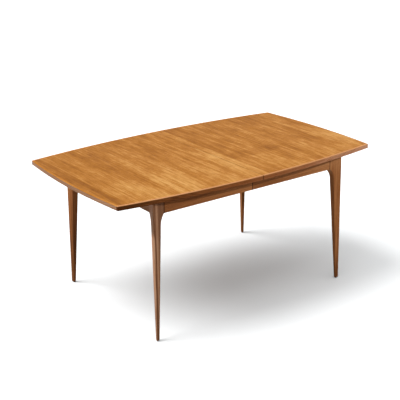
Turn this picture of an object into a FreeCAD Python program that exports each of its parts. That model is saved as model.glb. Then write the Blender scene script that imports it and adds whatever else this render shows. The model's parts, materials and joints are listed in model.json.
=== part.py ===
import FreeCAD, Part
import math
import os
from types import SimpleNamespace

import Sketcher
from FreeCAD import Placement, Rotation, Vector

# Extending dining table: two halves that pull apart along X on three-rail wooden slides.
# The origin is on the floor under the middle of the closed table, X runs along the table and Z is up.

# Driving lengths, in millimetres
LENGTHS = {
    # Top: four gently bowed edges
    "table_length": 1622,
    "table_width": 970,
    "table_height": 740,
    "end_bow": 24,
    "side_bow": 63.5,
    "top_thickness": 24,
    "lipping_width": 9,
    "top_arris": 3,
    "seam_gap": 0.6,
    # Frame of aprons under the top
    "end_overhang": 233,
    "side_overhang": 83.5,
    "apron_height": 75.5,
    "apron_thickness": 20,
    "apron_arris": 2,
    "apron_gap": 1.6,
    # Legs: kite section with a proud outer ridge, tapering to the floor
    "leg_block": 49.5,
    "ridge_proud_top": 23.4,
    "ridge_proud_foot": 26.8,
    "ridge_flat_top": 11.5,
    "ridge_flat_foot": 4,
    "knee_drop": 52,
    "knee_width": 49.9,
    "foot_width": 19,
    "leg_seat": 8.5,
    "leg_arris": 2,
    # Foot glides
    "glide_height": 4,
    "glide_radius": 6,
    "glide_bevel": 1.5,
    "glide_inset": 7,
    "glide_pin_radius": 1.5,
    "glide_pin_length": 18,
    # Corner blocks and the bolts that pull the legs in
    "corner_block_depth": 30,
    "corner_block_height": 50,
    "corner_block_drop": 6,
    "bolt_radius": 4,
    "bolt_reach": 34,
    "bolt_tail": 4,
    "washer_radius": 9,
    "washer_thickness": 1.6,
    "nut_radius": 7.5,
    "nut_thickness": 6.5,
    # Cleats that hold the top to the aprons
    "cleat_size": 18,
    "cleat_clearance": 8,
    "cleat_seam_margin": 30,
    # Screws
    "screw_radius": 2.2,
    "screw_head_radius": 4.2,
    "screw_head_height": 2.6,
    "screw_bite": 14,
    "small_screw_radius": 1.6,
    "small_screw_head_radius": 3,
    "small_screw_head_height": 1.4,
    "small_screw_bite": 11,
    "hole_clearance": 0.2,
    # Slides
    "extension": 610,
    "slide_spacing": 360,
    "rail_height": 44,
    "rail_width": 26,
    "mid_rail_width": 26,
    "tongue_depth": 9,
    "tongue_height": 14,
    "tongue_overlap": 20,
    "slide_play": 0.3,
    "stop_radius": 3,
    "stop_play": 0.5,
    "stop_margin": 18,
    "packer_thickness": 4,
    "packer_length": 60,
    "packer_margin": 12,
    "rail_screw_inset": 8,
    "rail_counterbore_radius": 5.5,
    "rail_counterbore_depth": 24,
    # Equaliser: one pinion between two racks under each slide
    "gear_module": 1.5,
    "gear_thickness": 6,
    "gear_backlash": 0.2,
    "gear_play": 0.4,
    "rack_thickness": 7,
    "rack_back": 9,
    "stud_radius": 4,
    "stud_head_radius": 7,
    "stud_head_height": 3,
    "stud_thread_radius": 3,
    "stud_thread_length": 18,
    "stud_running_fit": 0.06,
    # Dowels that line up the halves
    "dowel_radius": 5,
    "dowel_set": 22,
    "dowel_reach": 16,
    "dowel_tip": 2,
    "dowel_spacing": 300,
    "dowel_play": 0.3,
    "dowel_bottom_play": 2,
    "apron_dowel_radius": 4,
    "apron_dowel_set": 20,
    "apron_dowel_reach": 12,
    # Locks under the seam
    "lock_clearance": 8,
    "lock_pivot_set": 32,
    "lock_reach": 50,
    "lock_plate_length": 46,
    "lock_plate_width": 30,
    "lock_plate_thickness": 2.5,
    "lock_screw_spacing": 34,
    "keeper_length": 40,
    "keeper_screw_offset": 16,
    "keeper_screw_spacing": 18,
    "keeper_stud_radius": 3.5,
    "pivot_radius": 4,
    "pivot_running_fit": 0.06,
    "pivot_head_radius": 7,
    "pivot_head_height": 2,
    "lever_thickness": 3,
    "lever_play": 0.3,
    "lever_hub_radius": 10,
    "lever_arm_width": 14,
    "lever_jaw_width": 18,
    "lever_slot_play": 0.4,
    "lever_handle_length": 46,
    "lever_handle_width": 12,
    # Cuts run past the faces that they open
    "overrun": 5,
    # Edges closer than this to a level or an arc lie on it
    "match": 0.02,
}

# Driving angles, in degrees
ANGLES = {
    "gear_pressure_angle": 20,
    "lever_open_angle": 60,
    "jaw_lead_angle": 9,
    "jaw_span_angle": 49,
    "slot_end_angle": 1,
    "arm_angle": 28,
    "handle_angle": 160,
}

# Driving counts
COUNTS = {
    "gear_teeth": 20,
    "rack_lead_teeth": 4,
    "flank_steps": 5,
}

CLEAT_SCREW_SHARES = (0.1, 0.5, 0.9)
RACK_SCREW_SHARES = (0.08, 0.5, 0.92)
RACK_ADDENDUM_SHARE = 1.0
RACK_DEDENDUM_SHARE = 1.25
DIAGONAL_SHARE = math.sqrt(0.5)

SIDES = {"left": -1, "right": 1}
PLACES = {"front": -1, "back": 1}
UP = Vector(0, 0, 1)
ALONG = Vector(1, 0, 0)

doc = FreeCAD.newDocument("extending_table")
sheet = doc.addObject("Spreadsheet::Sheet", "Sizes")
driving = {**LENGTHS, **ANGLES, **COUNTS}
for row, (name, number) in enumerate(driving.items(), start=1):
    sheet.set(f"A{row}", name)
    sheet.set(f"B{row}", str(number))
    sheet.setAlias(f"B{row}", name)
doc.recompute()


class Size:
    """A size held twice: as the sheet's expression for it and as its present value."""

    def __init__(self, text, value):
        self.text = text
        self.value = value

    def __add__(self, other):
        other = as_size(other)
        return Size(f"({self.text} + {other.text})", self.value + other.value)

    def __sub__(self, other):
        other = as_size(other)
        return Size(f"({self.text} - {other.text})", self.value - other.value)

    def __mul__(self, other):
        other = as_size(other)
        return Size(f"({self.text} * {other.text})", self.value * other.value)

    def __truediv__(self, other):
        other = as_size(other)
        return Size(f"({self.text} / {other.text})", self.value / other.value)

    def __neg__(self):
        return Size(f"(0 - {self.text})", -self.value)

    __rmul__ = __mul__


def as_size(value):
    """A plain number as a size of its own."""
    if isinstance(value, Size):
        return value
    return Size(f"({value!r})", value)


S = SimpleNamespace(**{name: Size(f"Sizes.{name}", sheet.get(name)) for name in driving})
ZERO = as_size(0)
nodes = {}


# Small helpers that add bound objects to the document
def bind(thing, **sizes):
    """Tie properties to the sheet."""
    for name, size in sizes.items():
        thing.setExpression(name, as_size(size).text)
    return thing


def place(thing, x=ZERO, y=ZERO, z=ZERO, rotation=None):
    """Set a thing's place, tied to the sheet, and its turn."""
    thing.Placement = Placement(Vector(), rotation or Rotation())
    for letter, size in zip("xyz", (x, y, z)):
        thing.setExpression(f"Placement.Base.{letter}", as_size(size).text)
    return thing


def box(xs, ys, zs):
    """Box between two ends on each axis, given in either order."""
    lows, runs = [], []
    for ends in (xs, ys, zs):
        low, high = sorted((as_size(end) for end in ends), key=lambda end: end.value)
        lows.append(low)
        runs.append(high - low)
    solid = doc.addObject("Part::Box", "block")
    bind(solid, Length=runs[0], Width=runs[1], Height=runs[2])
    return place(solid, *lows)


def cylinder(radius, length, x, y, z, axis=UP):
    """Cylinder that starts at a point and runs along an axis."""
    solid = doc.addObject("Part::Cylinder", "round")
    bind(solid, Radius=radius, Height=length)
    return place(solid, x, y, z, Rotation(UP, axis))


def cone(radius_low, radius_high, length, x, y, z, axis=UP):
    """Cone that starts at a point and runs along an axis."""
    solid = doc.addObject("Part::Cone", "taper")
    bind(solid, Radius1=radius_low, Radius2=radius_high, Height=length)
    return place(solid, x, y, z, Rotation(UP, axis))


def combined(kind, solids):
    """Boolean of several solids."""
    result = doc.addObject(kind, "joined")
    result.Shapes = list(solids)
    return result


def fuse(*solids):
    return combined("Part::MultiFuse", solids)


def common(*solids):
    return combined("Part::MultiCommon", solids)


def group(*solids):
    """Separate solids kept side by side as one thing."""
    result = doc.addObject("Part::Compound", "group")
    result.Links = list(solids)
    return result


def cut(base, *tools):
    """Base with the tools taken out; the tools don't touch each other."""
    result = doc.addObject("Part::Cut", "cut")
    result.Base = base
    result.Tool = tools[0] if len(tools) == 1 else group(*tools)
    return result


def copy_at(solid, x, y, rotation):
    """The same solid again, at another place."""
    return place(group(solid), x, y, ZERO, rotation)


def middle_of(edge):
    return edge.valueAt((edge.FirstParameter + edge.LastParameter) / 2)


def near(one, other):
    """Whether two plain lengths agree."""
    return abs(one - other) < S.match.value


def eased(solid, radius, wanted):
    """The solid with the wanted edges rounded over."""
    doc.recompute()
    result = doc.addObject("Part::Fillet", "eased")
    result.Base = solid
    edges = enumerate(solid.Shape.Edges, start=1)
    result.Edges = [(number, radius.value, radius.value) for number, edge in edges if wanted(edge)]
    return result


def node(label, solid):
    """Name a finished piece."""
    solid.Label = label
    nodes[label] = solid
    return solid


# Levels and planes shared by the pieces
underside = S.table_height - S.top_thickness
apron_bottom = underside - S.apron_height
frame_x = S.table_length / 2 - S.end_overhang
frame_y = S.table_width / 2 - S.side_overhang
joint_x = frame_x - S.leg_block
joint_y = frame_y - S.leg_block


# Screws: each gives the solid and the hole that it needs
def pan_screw(x, y, head, grip):
    """Round-head screw driven upwards from a face at height head, through grip and into the top."""
    length = grip + S.screw_bite
    shank = cylinder(S.screw_radius, length, x, y, head)
    cap = cylinder(S.screw_head_radius, S.screw_head_height, x, y, head - S.screw_head_height)
    hole_radius = S.screw_radius + S.hole_clearance
    hole = cylinder(hole_radius, length + S.hole_clearance, x, y, head)
    return fuse(shank, cap), hole


def flush_screw(x, y, face):
    """Small screw driven upwards, its head let in flush with a face at height face."""
    cap = cylinder(S.small_screw_head_radius, S.small_screw_head_height, x, y, face)
    shank = cylinder(S.small_screw_radius, S.small_screw_bite, x, y, face)
    clear = S.hole_clearance
    cap_hole = cylinder(S.small_screw_head_radius + clear, S.small_screw_head_height, x, y, face)
    shank_hole = cylinder(S.small_screw_radius + clear, S.small_screw_bite + clear, x, y, face)
    return fuse(shank, cap), fuse(shank_hole, cap_hole)


# Legs: lofted blank, then two bandsawn profiles square to each other
ridge_top = S.leg_block + S.ridge_proud_top
ridge_foot = S.leg_block + S.ridge_proud_foot
knee_height = apron_bottom - S.knee_drop
knee_fall = (underside - knee_height) / (underside - S.glide_height)
ridge_knee = ridge_top + (ridge_foot - ridge_top) * knee_fall
foot_inner = ridge_foot - S.foot_width
knee_inner = ridge_knee - S.knee_width
bolt_height = underside - S.corner_block_drop - S.corner_block_height / 2
glide_place = foot_inner + S.glide_inset


def sketch_on(body, role, name):
    """Sketch on one of the body's own origin planes."""
    plane = next(feature for feature in body.Origin.OriginFeatures if feature.Role == role)
    sketch = body.newObject("Sketcher::SketchObject", name)
    sketch.AttachmentSupport = [(plane, "")]
    sketch.MapMode = "FlatFace"
    return sketch


def tangent_arc(before, start, end):
    """Arc from start to end that carries on in the direction from before to start, turning left."""
    heading = (start - before).normalize()
    chord = end - start
    inward = (chord - heading * chord.dot(heading)).normalize()
    radius = chord.dot(chord) / (2 * chord.dot(inward))
    middle = start + inward * radius
    angles = [math.atan2(point.y - middle.y, point.x - middle.x) for point in (start, end)]
    return Part.ArcOfCircle(Part.Circle(middle, UP, radius), *angles)


def draw(sketch, points, bend=None):
    """Closed outline through points held in place; the run that starts at point bend is a tangent arc."""
    spots = [Vector(x.value, y.value, 0) for x, y in points]
    count = len(spots)
    for run in range(count):
        start, end = spots[run], spots[(run + 1) % count]
        curve = tangent_arc(spots[run - 1], start, end) if run == bend else Part.LineSegment(start, end)
        sketch.addGeometry(curve)
    for run in range(count):
        following = (run + 1) % count
        kind = "Tangent" if following == bend else "Coincident"
        sketch.addConstraint(Sketcher.Constraint(kind, run, 2, following, 1))
    for run, (x, y) in enumerate(points):
        for kind, size in (("DistanceX", x), ("DistanceY", y)):
            number = sketch.addConstraint(Sketcher.Constraint(kind, -1, 1, run, 1, size.value))
            sketch.setExpression(f"Constraints[{number}]", size.text)


def kite(ridge, flat):
    """Leg blank's section: square inner corner, two canted outer faces and a narrow flat on the ridge."""
    side = S.leg_block * ridge / ridge_top
    share = flat / side * DIAGONAL_SHARE
    short = ridge - ridge * share
    long = ridge - (ridge - side) * share
    return [(ZERO, ZERO), (side, ZERO), (long, short), (short, long), (ZERO, side)]


def leg_edge_is_eased(edge):
    """The foot's rim and the edges that climb the leg, apart from those of the corner block's seat."""
    middle = middle_of(edge)
    climb = edge.BoundBox.ZLength
    if near(climb, 0):
        return near(middle.z, S.glide_height.value)
    on_seat = middle.z > apron_bottom.value and middle.x + middle.y < S.leg_block.value
    return climb > S.knee_drop.value / 2 and not on_seat


def leg_body():
    """One leg in its own frame: the inner corner stands at the origin and the ridge points along +X +Y."""
    body = doc.addObject("PartDesign::Body", "leg")
    sections = []
    for name, ridge, flat, level in (
        ("foot_section", ridge_foot, S.ridge_flat_foot, S.glide_height),
        ("top_section", ridge_top, S.ridge_flat_top, underside),
    ):
        sketch = sketch_on(body, "XY_Plane", name)
        sketch.setExpression("AttachmentOffset.Base.z", level.text)
        draw(sketch, kite(ridge, flat))
        sections.append(sketch)
    blank = body.newObject("PartDesign::AdditiveLoft", "blank")
    blank.Profile = sections[0]
    blank.Sections = sections[1:]
    blank.Ruled = True

    outside = -S.overrun
    sawn = [
        (outside, ZERO),
        (foot_inner, ZERO),
        (foot_inner, S.glide_height),
        (knee_inner, knee_height),
        (ZERO, apron_bottom),
        (outside, apron_bottom),
    ]
    seat_cut = S.leg_seat / DIAGONAL_SHARE + S.overrun
    seat = [(outside, outside), (seat_cut, outside), (outside, seat_cut)]
    for name, role, points, bend in (
        ("side_profile", "XZ_Plane", sawn, 3),
        ("end_profile", "YZ_Plane", sawn, 3),
        ("block_seat", "XY_Plane", seat, None),
    ):
        sketch = sketch_on(body, role, name)
        draw(sketch, points, bend)
        saw = body.newObject("PartDesign::Pocket", f"{name}_cut")
        saw.Profile = sketch
        saw.Type = "ThroughAll"
        saw.SideType = "Symmetric"
    doc.recompute()
    edges = enumerate(saw.Shape.Edges, start=1)
    rounding = body.newObject("PartDesign::Fillet", "eased_edges")
    rounding.Base = (saw, [f"Edge{number}" for number, edge in edges if leg_edge_is_eased(edge)])
    bind(rounding, Radius=S.leg_arris)
    return body


def along_ridge(radius, start, end, height):
    """Cylinder on the leg's diagonal, from start to end, both measured from the inner corner."""
    at = start * DIAGONAL_SHARE
    return cylinder(radius, end - start, at, at, height, Vector(1, 1, 0))


def leg_pieces():
    """A leg, its glide, corner block, bolt and nut, all in the leg's own frame."""
    bolt_hole_radius = S.bolt_radius + S.hole_clearance
    block_inner = S.leg_seat - S.corner_block_depth
    bolt_tip = S.leg_seat + S.bolt_reach
    hole_end = bolt_tip + S.hole_clearance
    pin_hole_radius = S.glide_pin_radius + S.hole_clearance
    pin_top = S.glide_height + S.glide_pin_length
    pin_hole = cylinder(pin_hole_radius, pin_top + S.hole_clearance, glide_place, glide_place, ZERO)
    leg = cut(leg_body(), along_ridge(bolt_hole_radius, ZERO, hole_end, bolt_height), pin_hole)

    bevel_radius = S.glide_radius - S.glide_bevel
    glide = fuse(
        cone(bevel_radius, S.glide_radius, S.glide_bevel, glide_place, glide_place, ZERO),
        cylinder(S.glide_radius, S.glide_height - S.glide_bevel, glide_place, glide_place, S.glide_bevel),
        cylinder(S.glide_pin_radius, pin_top - S.glide_bevel, glide_place, glide_place, S.glide_bevel),
    )

    inner_face = S.leg_block - S.apron_thickness
    reach = inner_face / DIAGONAL_SHARE - block_inner + S.overrun
    top = underside - S.corner_block_drop
    bottom = top - S.corner_block_height
    slab = doc.addObject("Part::Box", "slab")
    bind(slab, Length=S.corner_block_depth, Width=reach * 2, Height=S.corner_block_height)
    across = (block_inner + reach) * DIAGONAL_SHARE
    down = (block_inner - reach) * DIAGONAL_SHARE
    place(slab, across, down, bottom, Rotation(ALONG, Vector(1, 1, 0)))
    bay = box((inner_face, inner_face - reach * 2), (inner_face, inner_face - reach * 2), (bottom, top))
    block = cut(common(slab, bay), along_ridge(bolt_hole_radius, -reach, S.leg_seat + S.overrun, bolt_height))

    washer_face = block_inner - S.washer_thickness
    nut_face = washer_face - S.nut_thickness
    bolt = along_ridge(S.bolt_radius, nut_face - S.bolt_tail, bolt_tip, bolt_height)
    washer = along_ridge(S.washer_radius, washer_face, block_inner, bolt_height)
    nut = doc.addObject("Part::Prism", "hexagon")
    nut.Polygon = 6
    bind(nut, Circumradius=S.nut_radius, Height=S.nut_thickness)
    at = nut_face * DIAGONAL_SHARE
    place(nut, at, at, bolt_height, Rotation(UP, Vector(1, 1, 0)))
    bore = along_ridge(bolt_hole_radius, -reach, S.leg_seat, bolt_height)
    nuts = group(cut(washer, bore), cut(nut, bore))
    return {"leg": leg, "glide": glide, "block": block, "bolt": bolt, "nut": nuts}


# The leg's ridge points outwards at each corner after a quarter turn or more
CORNER_TURNS = {("right", "back"): 0, ("left", "back"): 90, ("left", "front"): 180, ("right", "front"): 270}
corner = leg_pieces()


def corner_copies(half, piece):
    """A corner piece at the two corners of one half."""
    copies = []
    for where, sign in PLACES.items():
        turn = Rotation(UP, CORNER_TURNS[half, where])
        copies.append(copy_at(corner[piece], SIDES[half] * joint_x, sign * joint_y, turn))
    return copies


# Top: panel and three solid lippings in each half, all cut from large discs
def disc(radius, x, y):
    return cylinder(radius, S.top_thickness, x, y, underside)


corner_x = S.table_length / 2 - S.end_bow
corner_y = S.table_width / 2 - S.side_bow
side_radius = (corner_x * corner_x + S.side_bow * S.side_bow) / (S.side_bow * 2)
end_radius = (corner_y * corner_y + S.end_bow * S.end_bow) / (S.end_bow * 2)
side_middle = S.table_width / 2 - side_radius
end_middle = S.table_length / 2 - end_radius


def on_rim(*arcs):
    """Test for outer edges: along the top and bottom of the arcs, and the corner where two arcs meet."""

    def on(arc, point):
        radius, x, y = (size.value for size in arc)
        return near(math.hypot(point.x - x, point.y - y), radius)

    def wanted(edge):
        middle = middle_of(edge)
        level = near(middle.z, underside.value) or near(middle.z, S.table_height.value)
        hits = [on(arc, middle) for arc in arcs]
        return any(hits) if level else len(arcs) > 1 and all(hits)

    return wanted


def top_half(half, holes):
    """Panel and lippings of one half; holes are taken out of the panel."""
    side = SIDES[half]
    beyond_x = S.table_length / 2 + S.overrun
    beyond_y = S.table_width / 2 + S.overrun

    def half_box():
        xs = (side * S.seam_gap / 2, side * beyond_x)
        return box(xs, (-beyond_y, beyond_y), (underside, S.table_height))

    inner = -S.lipping_width
    end_arc = (end_radius, side * end_middle, ZERO)
    side_arcs = {where: (side_radius, ZERO, sign * side_middle) for where, sign in PLACES.items()}
    inner_sides = [disc(radius + inner, x, y) for radius, x, y in side_arcs.values()]
    inner_end = disc(end_arc[0] + inner, *end_arc[1:])
    node(f"{half}_top_panel", cut(common(*inner_sides, inner_end, half_box()), *holes))

    band = cut(disc(*end_arc), inner_end)
    strip = common(band, *inner_sides, half_box())
    node(f"{half}_end_lipping", eased(strip, S.top_arris, on_rim(end_arc)))
    for (where, arc), inner_side in zip(side_arcs.items(), inner_sides):
        band = cut(disc(*arc), inner_side)
        strip = common(band, disc(*end_arc), half_box())
        node(f"{half}_{where}_lipping", eased(strip, S.top_arris, on_rim(arc, end_arc)))


# Frame: aprons, cleats
def on_apron_foot(edge):
    """The two long lower edges of an apron."""
    return near(middle_of(edge).z, apron_bottom.value) and edge.Length > S.apron_thickness.value * 2


def aprons(half, dowel_holes):
    """End apron and the two half-length side aprons, butted against the legs."""
    side = SIDES[half]
    zs = (apron_bottom, underside)
    end_inner = frame_x - S.apron_thickness
    board = box((side * end_inner, side * frame_x), (-joint_y, joint_y), zs)
    node(f"{half}_end_apron", eased(board, S.apron_arris, on_apron_foot))
    for where, sign in PLACES.items():
        ys = (sign * (frame_y - S.apron_thickness), sign * frame_y)
        board = box((side * S.apron_gap / 2, side * joint_x), ys, zs)
        node(f"{half}_{where}_apron", eased(cut(board, dowel_holes[where]), S.apron_arris, on_apron_foot))


def cleats(half):
    """Three cleats with their screws; gives the screw holes for the panel."""
    side = SIDES[half]
    block_edge = (S.corner_block_depth - S.leg_seat) / DIAGONAL_SHARE + S.leg_block - S.apron_thickness
    cleat_x = joint_x - block_edge - S.cleat_clearance
    cleat_y = joint_y - block_edge - S.cleat_clearance
    bottom = underside - S.cleat_size
    zs = (bottom, underside)
    end_face = frame_x - S.apron_thickness
    side_face = frame_y - S.apron_thickness
    middle = S.cleat_size / 2
    strips, screws, holes = [], [], []

    def add(xs, ys, spots):
        drilled = []
        for x, y in spots:
            screw, hole = pan_screw(x, y, bottom, S.cleat_size)
            screws.append(screw)
            drilled.append(hole)
        holes.extend(drilled)
        strips.append(cut(box(xs, ys, zs), *drilled))

    xs = (side * (end_face - S.cleat_size), side * end_face)
    spots = [(side * (end_face - middle), -cleat_y + cleat_y * 2 * share) for share in CLEAT_SCREW_SHARES]
    add(xs, (-cleat_y, cleat_y), spots)
    run = cleat_x - S.cleat_seam_margin
    for sign in PLACES.values():
        ys = (sign * (side_face - S.cleat_size), sign * side_face)
        line = sign * (side_face - middle)
        spots = [(side * (S.cleat_seam_margin + run * share), line) for share in CLEAT_SCREW_SHARES]
        add((side * S.cleat_seam_margin, side * cleat_x), ys, spots)
    node(f"{half}_top_cleats", group(*strips))
    node(f"{half}_cleat_screws", group(*screws))
    return holes


# Slides: left rail, middle rail and right rail lie side by side, with tongues on the middle rail
half_travel = S.extension / 2
stop_place = S.tongue_overlap + half_travel + S.stop_play + S.stop_radius
rail_end = stop_place + S.stop_radius + S.stop_margin
rail_top = underside - S.packer_thickness
rail_bottom = rail_top - S.rail_height
tongue_low = rail_bottom + (S.rail_height - S.tongue_height) / 2
tongue_high = tongue_low + S.tongue_height
mid_face = S.mid_rail_width / 2
rail_face = mid_face + S.slide_play
rail_back = rail_face + S.rail_width
gear_radius = S.gear_module * S.gear_teeth / 2
tooth_pitch = S.gear_module * math.pi


def outer_rails(half):
    """Both rails, packers, screws and stop pegs of one half; gives the screw holes for the panel."""
    side = SIDES[half]
    rails, packers, screws, pegs, holes = {}, [], [], [], []
    grip = S.rail_height - S.rail_counterbore_depth + S.packer_thickness
    head = rail_bottom + S.rail_counterbore_depth
    packer_near = S.packer_margin
    packer_far = rail_end - S.packer_margin - S.packer_length
    for where, sign in PLACES.items():
        line = sign * S.slide_spacing / 2
        ys = (line + side * rail_face, line + side * rail_back)
        stick = box((-rail_end, rail_end), ys, (rail_bottom, rail_top))
        groove_floor = line + side * (mid_face + S.tongue_depth + S.slide_play)
        groove_mouth = line + side * (rail_face - S.overrun)
        groove_zs = (tongue_low - S.slide_play, tongue_high + S.slide_play)
        beyond = rail_end + S.overrun
        groove = box((-beyond, beyond), (groove_floor, groove_mouth), groove_zs)
        peg_x = -side * stop_place
        peg_y = line + side * (rail_face + S.tongue_depth / 2)
        pegs.append(cylinder(S.stop_radius, S.rail_height, peg_x, peg_y, rail_bottom))
        peg_bore = S.stop_radius + S.hole_clearance
        peg_start = rail_bottom - S.overrun
        peg_hole = cylinder(peg_bore, S.rail_height + S.overrun * 2, peg_x, peg_y, peg_start)
        cuts = [fuse(groove, peg_hole)]
        for start in (packer_near, packer_far):
            x = side * (start + S.packer_length / 2)
            y = line + side * (rail_back - S.rail_screw_inset)
            screw, hole = pan_screw(x, y, head, grip)
            bore_start = rail_bottom - S.overrun
            bore = cylinder(S.rail_counterbore_radius, head - bore_start, x, y, bore_start)
            cuts.append(fuse(hole, bore))
            strip = box((side * start, side * (start + S.packer_length)), ys, (rail_top, underside))
            packers.append(cut(strip, hole))
            screws.append(screw)
            holes.append(hole)
        rails[where] = cut(stick, *cuts)
    node(f"{half}_rail_packers", group(*packers))
    node(f"{half}_rail_screws", group(*screws))
    node(f"{half}_stop_pegs", group(*pegs))
    return rails, holes


def middle_rails():
    """The floating middle rails, with a hole for the pinion's stud."""
    for where, sign in PLACES.items():
        line = sign * S.slide_spacing / 2
        core = box((-rail_end, rail_end), (line - mid_face, line + mid_face), (rail_bottom, rail_top))
        tongues = []
        for side in SIDES.values():
            xs = (side * rail_end, -side * S.tongue_overlap)
            ys = (line, line + side * (mid_face + S.tongue_depth))
            tongues.append(box(xs, ys, (tongue_low, tongue_high)))
        bore_length = S.stud_thread_length + S.hole_clearance
        bore_radius = S.stud_thread_radius + S.hole_clearance
        bore = cylinder(bore_radius, bore_length + S.overrun, ZERO, line, rail_bottom - S.overrun)
        node(f"{where}_mid_rail", cut(fuse(core, *tongues), bore))


def extruded(points, low, high, name):
    """Upright prism on a closed outline of plain points."""
    wire = Part.makePolygon([*points, points[0]])
    face = Part.Face(wire)
    face.translate(Vector(0, 0, low))
    thing = doc.addObject("Part::Feature", name)
    thing.Shape = face.extrude(Vector(0, 0, high - low))
    return thing


def pinion_outline():
    """Involute teeth, the first pointing along -Y."""
    pressure = math.radians(S.gear_pressure_angle.value)
    teeth = int(S.gear_teeth.value)
    module = S.gear_module.value
    radius = gear_radius.value
    base = radius * math.cos(pressure)
    tip = radius + module * RACK_ADDENDUM_SHARE
    root = radius - module * RACK_DEDENDUM_SHARE
    half_tooth = (tooth_pitch.value / 2 - S.gear_backlash.value) / (2 * radius)

    def half_angle(distance):
        turn = math.acos(min(1, base / distance))
        return half_tooth + math.tan(pressure) - pressure - math.tan(turn) + turn

    steps = int(S.flank_steps.value)
    radii = [root] + [base + (tip - base) * step / steps for step in range(steps + 1)]
    flank = [(distance, half_angle(max(distance, base))) for distance in radii]
    points = []
    for tooth in range(teeth):
        middle = 2 * math.pi * tooth / teeth - math.pi / 2
        rising = [(distance, middle - angle) for distance, angle in flank]
        falling = [(distance, middle + angle) for distance, angle in reversed(flank)]
        for distance, angle in rising + falling:
            points.append(Vector(distance * math.cos(angle), distance * math.sin(angle), 0))
    return points


def pinion(where):
    """Equaliser pinion under the middle rail, in mesh with both racks."""
    line = PLACES[where] * S.slide_spacing / 2
    top = rail_bottom - S.gear_play
    bottom = top - S.gear_thickness
    blank = extruded(pinion_outline(), bottom.value, top.value, "pinion_blank")
    bore_radius = S.stud_radius + S.stud_running_fit
    bore = cylinder(bore_radius, S.gear_thickness + S.overrun * 2, ZERO, ZERO, bottom - S.overrun)
    node(f"{where}_pinion", place(cut(blank, bore), ZERO, line))


def studs():
    """Shoulder studs that carry the pinions."""
    solids = []
    shoulder = S.gear_thickness + S.gear_play * 2
    for sign in PLACES.values():
        line = sign * S.slide_spacing / 2
        seat = rail_bottom - shoulder
        solids.append(fuse(
            cylinder(S.stud_thread_radius, S.stud_thread_length, ZERO, line, rail_bottom),
            cylinder(S.stud_radius, shoulder, ZERO, line, seat),
            cylinder(S.stud_head_radius, S.stud_head_height, ZERO, line, seat - S.stud_head_height),
        ))
    node("pinion_studs", group(*solids))


def rack_outline(side):
    """Rack with straight-sided teeth that point at the pinion; side is the side that it lies on."""
    pitch = tooth_pitch.value
    module = S.gear_module.value
    slope = math.tan(math.radians(S.gear_pressure_angle.value))
    lead = int(S.rack_lead_teeth.value)
    reach = lead + math.ceil(half_travel.value / pitch)
    odd = int(S.gear_teeth.value) % 2
    shift = pitch / 2 if odd and side > 0 else 0
    tip = gear_radius.value - module * RACK_ADDENDUM_SHARE
    root = gear_radius.value + module * RACK_DEDENDUM_SHARE
    back = root + S.rack_back.value
    half_tooth = (pitch / 2 - S.gear_backlash.value) / 2
    half_tip = half_tooth - module * RACK_ADDENDUM_SHARE * slope
    half_root = half_tooth + module * RACK_DEDENDUM_SHARE * slope
    first, last = (-lead, reach) if side < 0 else (-reach, lead)
    points = [Vector(first * pitch + shift, side * root, 0)]
    for gap in range(first, last):
        middle = gap * pitch + pitch / 2 + shift
        for distance, half in ((root, -half_root), (tip, -half_tip), (tip, half_tip), (root, half_root)):
            points.append(Vector(middle + half, side * distance, 0))
    points.append(Vector(last * pitch + shift, side * root, 0))
    points.append(Vector(last * pitch + shift, side * back, 0))
    points.append(Vector(first * pitch + shift, side * back, 0))
    return points


def racks(half):
    """Racks under the outer rails of one half with their screws; gives the screw holes for the rails."""
    side = SIDES[half]
    screws, holes = [], {}
    bottom = rail_bottom - S.rack_thickness
    lead = S.rack_lead_teeth * tooth_pitch
    start, end = -lead, half_travel + lead
    screw_line = gear_radius + S.gear_module * RACK_DEDENDUM_SHARE + S.rack_back / 2
    for where, sign in PLACES.items():
        line = sign * S.slide_spacing / 2
        bar = extruded(rack_outline(side), bottom.value, rail_bottom.value, "rack_bar")
        holes[where] = []
        bored = []
        for share in RACK_SCREW_SHARES:
            x = -side * (start + (end - start) * share)
            screw, hole = flush_screw(x, line + side * screw_line, bottom)
            screws.append(screw)
            holes[where].append(hole)
            bored.append(hole)
        node(f"{where}_{half}_rack", cut(place(bar, ZERO, line), *bored))
    node(f"{half}_rack_screws", group(*screws))
    return holes


# Dowels across the seam
dowel_level = S.table_height - S.top_thickness / 2
dowel_lines = [S.dowel_spacing * step for step in (-1, 0, 1)]
apron_dowel_level = apron_bottom + S.apron_height / 2
apron_dowel_line = frame_y - S.apron_thickness / 2


leaf_dowel = (S.dowel_radius, S.dowel_set, S.dowel_reach, S.seam_gap / 2)
apron_dowel = (S.apron_dowel_radius, S.apron_dowel_set, S.apron_dowel_reach, S.apron_gap / 2)


def dowel(sizes, y, z):
    """Dowel set in the left half that reaches across the seam, with a tapered tip."""
    radius, inset, reach, seam = sizes
    start = -(seam + inset)
    shank = cylinder(radius, seam + inset + reach - S.dowel_tip, start, y, z, ALONG)
    tip = cone(radius, radius - S.dowel_tip, S.dowel_tip, reach - S.dowel_tip, y, z, ALONG)
    return fuse(shank, tip)


def dowel_hole(half, sizes, y, z):
    """Tight hole for a dowel in the left half, or a sliding socket in the right half."""
    radius, inset, reach, seam = sizes
    if half == "left":
        depth = seam + inset + S.hole_clearance
        return cylinder(radius + S.hole_clearance, depth + S.overrun, -depth, y, z, ALONG)
    depth = reach + S.dowel_bottom_play
    return cylinder(radius + S.dowel_play, depth + S.overrun, -S.overrun, y, z, ALONG)


def seam_dowels():
    """Three dowels between the panels and one between each pair of side aprons."""
    solids = [dowel(leaf_dowel, y, dowel_level) for y in dowel_lines]
    solids += [dowel(apron_dowel, sign * apron_dowel_line, apron_dowel_level) for sign in PLACES.values()]
    node("seam_dowels", group(*solids))


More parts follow.
